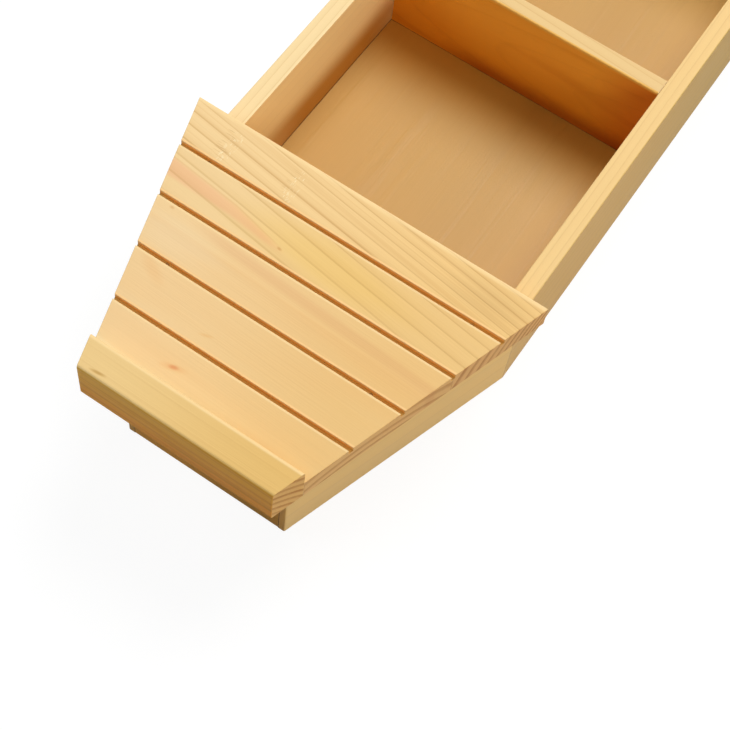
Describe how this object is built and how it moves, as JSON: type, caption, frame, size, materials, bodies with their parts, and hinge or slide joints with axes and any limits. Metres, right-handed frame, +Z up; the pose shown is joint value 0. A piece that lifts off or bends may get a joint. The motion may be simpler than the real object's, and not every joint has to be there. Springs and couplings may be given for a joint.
{
  "type": "sushi boat",
  "caption": "Flat-bottomed pine serving boat: open food compartments parted by a divider, between tapered ends that sit under overhanging grooved decks with a raised lip.",
  "frame": {"origin": "on the table, under the middle of the boat", "axes": "+X along the boat's length from the bow at -X to the stern, +Y to the boat's left, +Z up"},
  "size_m": [0.4872, 0.1568, 0.0761],
  "materials": {
    "deck_pine": "planed pine, satin",
    "wall_pine": "planed pine, satin",
    "divider_pine": "redder planed pine, satin",
    "floor_pine": "smooth sanded pine",
    "steel": "plain wire"
  },
  "bodies": {
    "root": {"bulkhead_bow": "wall_pine", "bulkhead_stern": "wall_pine", "cheek_bow_left": "wall_pine", "cheek_bow_right": "wall_pine", "cheek_stern_left": "wall_pine", "cheek_stern_right": "wall_pine", "deck_inner_bow": "deck_pine", "deck_inner_stern": "deck_pine", "deck_outer_bow": "deck_pine", "deck_outer_stern": "deck_pine", "divider": "divider_pine", "floor_board": "floor_pine", "lip_bow": "deck_pine", "lip_stern": "deck_pine", "pin_bulkhead_bow_left_1": "steel", "pin_bulkhead_bow_left_2": "steel", "pin_bulkhead_bow_right_1": "steel", "pin_bulkhead_bow_right_2": "steel", "pin_bulkhead_stern_left_1": "steel", "pin_bulkhead_stern_left_2": "steel", "pin_bulkhead_stern_right_1": "steel", "pin_bulkhead_stern_right_2": "steel", "pin_deck_bow_left_1": "steel", "pin_deck_bow_left_2": "steel", "pin_deck_bow_right_1": "steel", "pin_deck_bow_right_2": "steel", "pin_deck_stern_left_1": "steel", "pin_deck_stern_left_2": "steel", "pin_deck_stern_right_1": "steel", "pin_deck_stern_right_2": "steel", "pin_divider_left_1": "steel", "pin_divider_left_2": "steel", "pin_divider_right_1": "steel", "pin_divider_right_2": "steel", "pin_floor_bow_left": "steel", "pin_floor_bow_right": "steel", "pin_floor_left_1": "steel", "pin_floor_left_2": "steel", "pin_floor_left_3": "steel", "pin_floor_right_1": "steel", "pin_floor_right_2": "steel", "pin_floor_right_3": "steel", "pin_floor_stern_left": "steel", "pin_floor_stern_right": "steel", "pin_transom_bow_left_1": "steel", "pin_transom_bow_left_2": "steel", "pin_transom_bow_right_1": "steel", "pin_transom_bow_right_2": "steel", "pin_transom_floor_bow_1": "steel", "pin_transom_floor_bow_2": "steel", "pin_transom_floor_stern_1": "steel", "pin_transom_floor_stern_2": "steel", "pin_transom_stern_left_1": "steel", "pin_transom_stern_left_2": "steel", "pin_transom_stern_right_1": "steel", "pin_transom_stern_right_2": "steel", "side_board_left": "wall_pine", "side_board_right": "wall_pine", "transom_bow": "wall_pine", "transom_stern": "wall_pine"}
  },
  "joints": []
}
